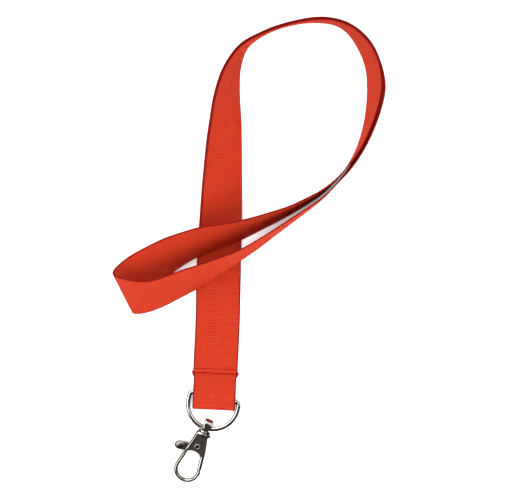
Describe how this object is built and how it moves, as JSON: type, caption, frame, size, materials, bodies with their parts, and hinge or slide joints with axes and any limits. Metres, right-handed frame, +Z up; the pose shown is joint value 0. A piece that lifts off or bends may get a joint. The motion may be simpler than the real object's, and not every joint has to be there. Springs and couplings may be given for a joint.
{
  "type": "neck lanyard",
  "caption": "Neck lanyard: a flat woven ribbon loop in two plies, sewn into a pocket that holds a D-ring with a swivel lobster clasp.",
  "frame": {"origin": "on the surface that the lanyard lies on, under the middle of the seam that closes the ring's pocket", "axes": "+Y from the clasp up along the strap, +X to the right of the strap seen from above, +Z up"},
  "size_m": [0.119, 0.2109, 0.0224],
  "materials": {
    "ribbon": "red polyester ribbon with fine cross ribs and a soft sheen",
    "thread": "dark red polyester sewing thread",
    "ring_nickel": "bright nickel-plated steel wire",
    "clasp_nickel": "bright nickel-plated zinc casting",
    "lever_nickel": "tumbled nickel-plated zinc casting",
    "rivet_nickel": "nickel-plated steel tube, flared over",
    "spring_steel": "bare spring wire"
  },
  "bodies": {
    "strap": {"ribbon_front_ply": "ribbon", "ribbon_back_ply": "ribbon", "ribbon_pocket": "ribbon", "needle_thread": "thread", "bobbin_thread": "thread"},
    "ring": {"d_ring": "ring_nickel"},
    "eye": {"swivel_eye": "clasp_nickel"},
    "clasp": {"hook_body": "clasp_nickel", "lever_rivet": "rivet_nickel", "lever_spring": "spring_steel"},
    "lever": {"trigger_lever": "lever_nickel"}
  },
  "joints": [
    {"name": "ring_swing", "type": "hinge", "parent": "strap", "child": "ring", "pos_m": [0.00028, -0.0107, 0.002], "axis": [-0.9816, 0.1908, 0], "range_deg": [-90, 90]},
    {"name": "eye_swing", "type": "hinge", "parent": "ring", "child": "eye", "pos_m": [-0.00303, -0.02481, 0.0028], "axis": [-0.9272, 0.3746, 0], "range_deg": [-90, 90]},
    {"name": "clasp_swivel", "type": "hinge", "parent": "eye", "child": "clasp", "pos_m": [-0.00303, -0.02481, 0.0029], "axis": [0.3739, 0.9255, 0.0611], "continuous": true},
    {"name": "lever_press", "type": "hinge", "parent": "clasp", "child": "lever", "pos_m": [-0.00644, -0.03324, 0.00234], "axis": [0.0229, 0.0566, -0.9981], "range_deg": [0, 30], "stiffness_Nm_per_rad": 0.01, "springref_deg": -28.65, "deforming": ["lever_spring"]}
  ]
}
